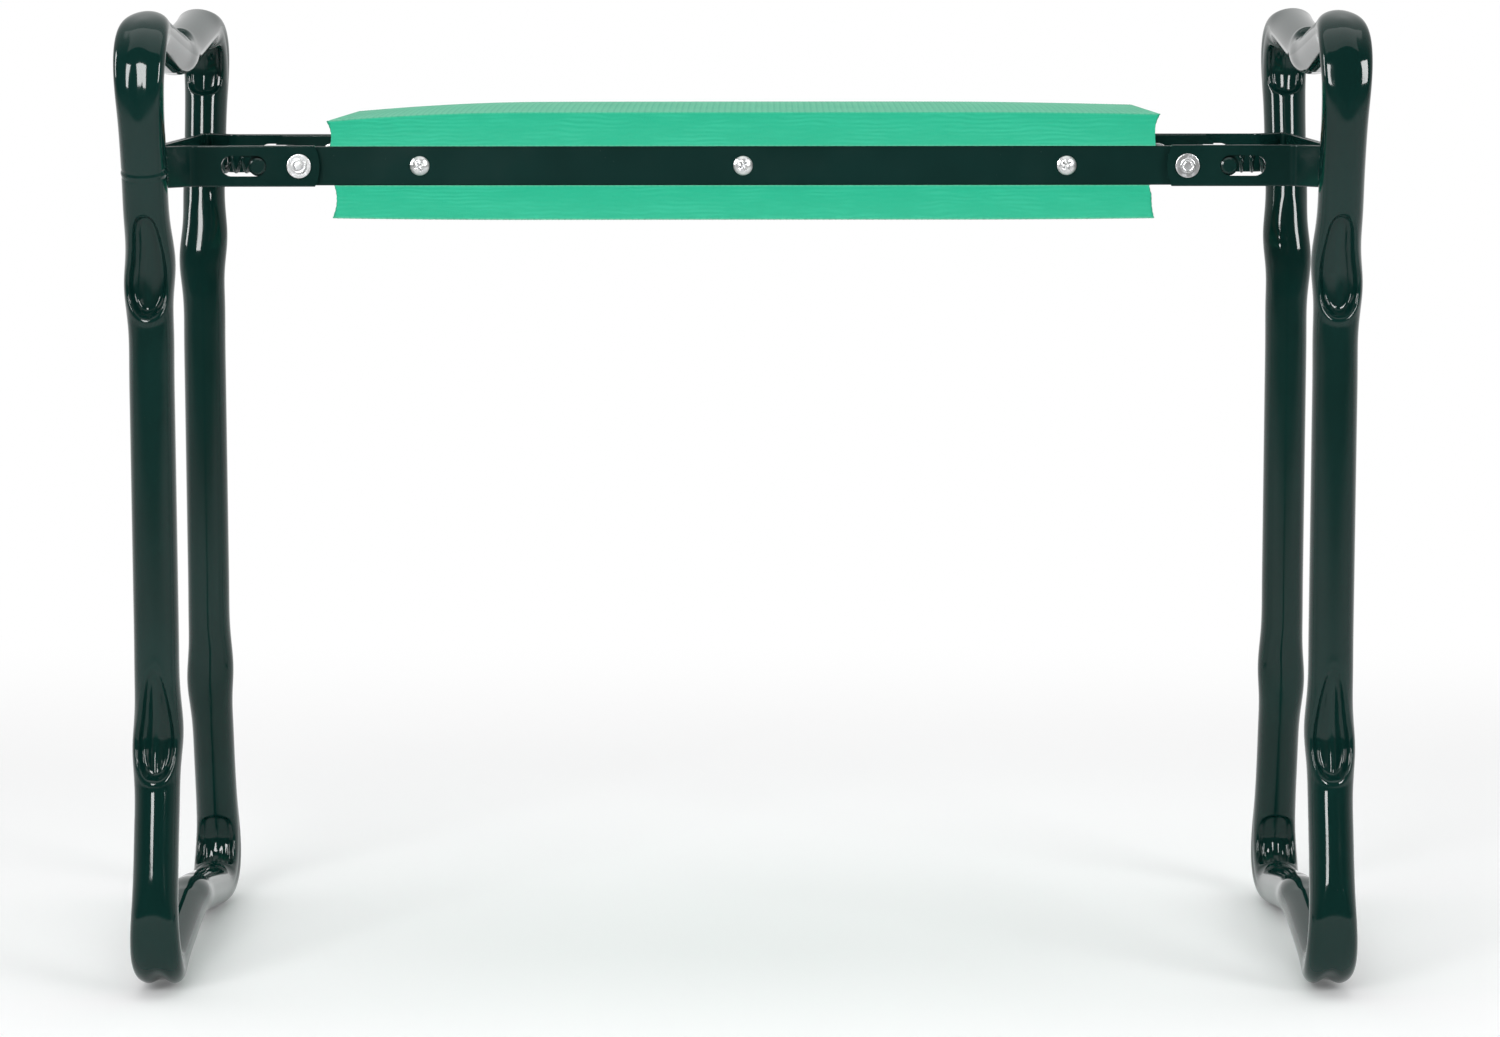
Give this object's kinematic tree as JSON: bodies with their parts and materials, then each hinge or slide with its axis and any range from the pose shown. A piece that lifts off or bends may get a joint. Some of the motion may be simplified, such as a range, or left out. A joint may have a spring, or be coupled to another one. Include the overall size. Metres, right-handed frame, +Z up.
{
  "type": "folding garden kneeler seat",
  "caption": "Padded bench between two folding loop-shaped tube legs: a seat one way up, a kneeler with hand rails when turned over.",
  "frame": {"origin": "on the floor, under the middle of the seat", "axes": "+X along the seat, +Y across the seat towards the rear, +Z up"},
  "size_m": [0.596, 0.27, 0.48],
  "materials": {
    "leg_enamel": "gloss",
    "strap_enamel": "satin",
    "rail_enamel": "satin",
    "spring_steel": "gloss",
    "rod_enamel": "gloss",
    "bare_steel": "satin",
    "zinc_plate": "gloss",
    "board": "matte",
    "foam": "matte"
  },
  "bodies": {
    "seat": {"front_rail": "rail_enamel", "front_rail_screws": "zinc_plate", "front_left_pivot_rivet": "zinc_plate", "front_left_rivet_washer": "zinc_plate", "front_left_pivot_spacer": "bare_steel", "front_right_pivot_rivet": "zinc_plate", "front_right_rivet_washer": "zinc_plate", "front_right_pivot_spacer": "bare_steel", "rear_rail": "rail_enamel", "rear_rail_screws": "zinc_plate", "rear_left_pivot_rivet": "zinc_plate", "rear_left_rivet_washer": "zinc_plate", "rear_left_pivot_spacer": "bare_steel", "rear_right_pivot_rivet": "zinc_plate", "rear_right_rivet_washer": "zinc_plate", "rear_right_pivot_spacer": "bare_steel", "core_board": "board", "upper_pad": "foam", "lower_pad": "foam"},
    "left_leg": {"left_leg_frame": "leg_enamel", "left_joint_sleeve": "bare_steel", "left_bracket_strap": "strap_enamel", "left_weld_beads": "strap_enamel", "left_spring_stud": "strap_enamel", "left_lock_spring": "spring_steel"},
    "left_lock": {"left_lock_rod": "rod_enamel"},
    "right_leg": {"right_leg_frame": "leg_enamel", "right_joint_sleeve": "bare_steel", "right_bracket_strap": "strap_enamel", "right_weld_beads": "strap_enamel", "right_spring_stud": "strap_enamel", "right_lock_spring": "spring_steel"},
    "right_lock": {"right_lock_rod": "rod_enamel"}
  },
  "joints": [
    {"name": "left_leg_fold", "type": "hinge", "parent": "seat", "child": "left_leg", "pos_m": [-0.216, 0, 0.404], "axis": [0, -1, 0], "range_deg": [0, 94]},
    {"name": "left_lock_slide", "type": "slide", "parent": "left_leg", "child": "left_lock", "axis": [-1, 0, 0], "range_m": [0, 0.0125], "stiffness_N_per_m": 400, "springref_m": -0.01, "deforming": ["left_lock_spring"]},
    {"name": "right_leg_fold", "type": "hinge", "parent": "seat", "child": "right_leg", "pos_m": [0.216, 0, 0.404], "axis": [0, 1, 0], "range_deg": [0, 85]},
    {"name": "right_lock_slide", "type": "slide", "parent": "right_leg", "child": "right_lock", "axis": [1, 0, 0], "range_m": [0, 0.0125], "stiffness_N_per_m": 400, "springref_m": -0.01, "deforming": ["right_lock_spring"]}
  ]
}
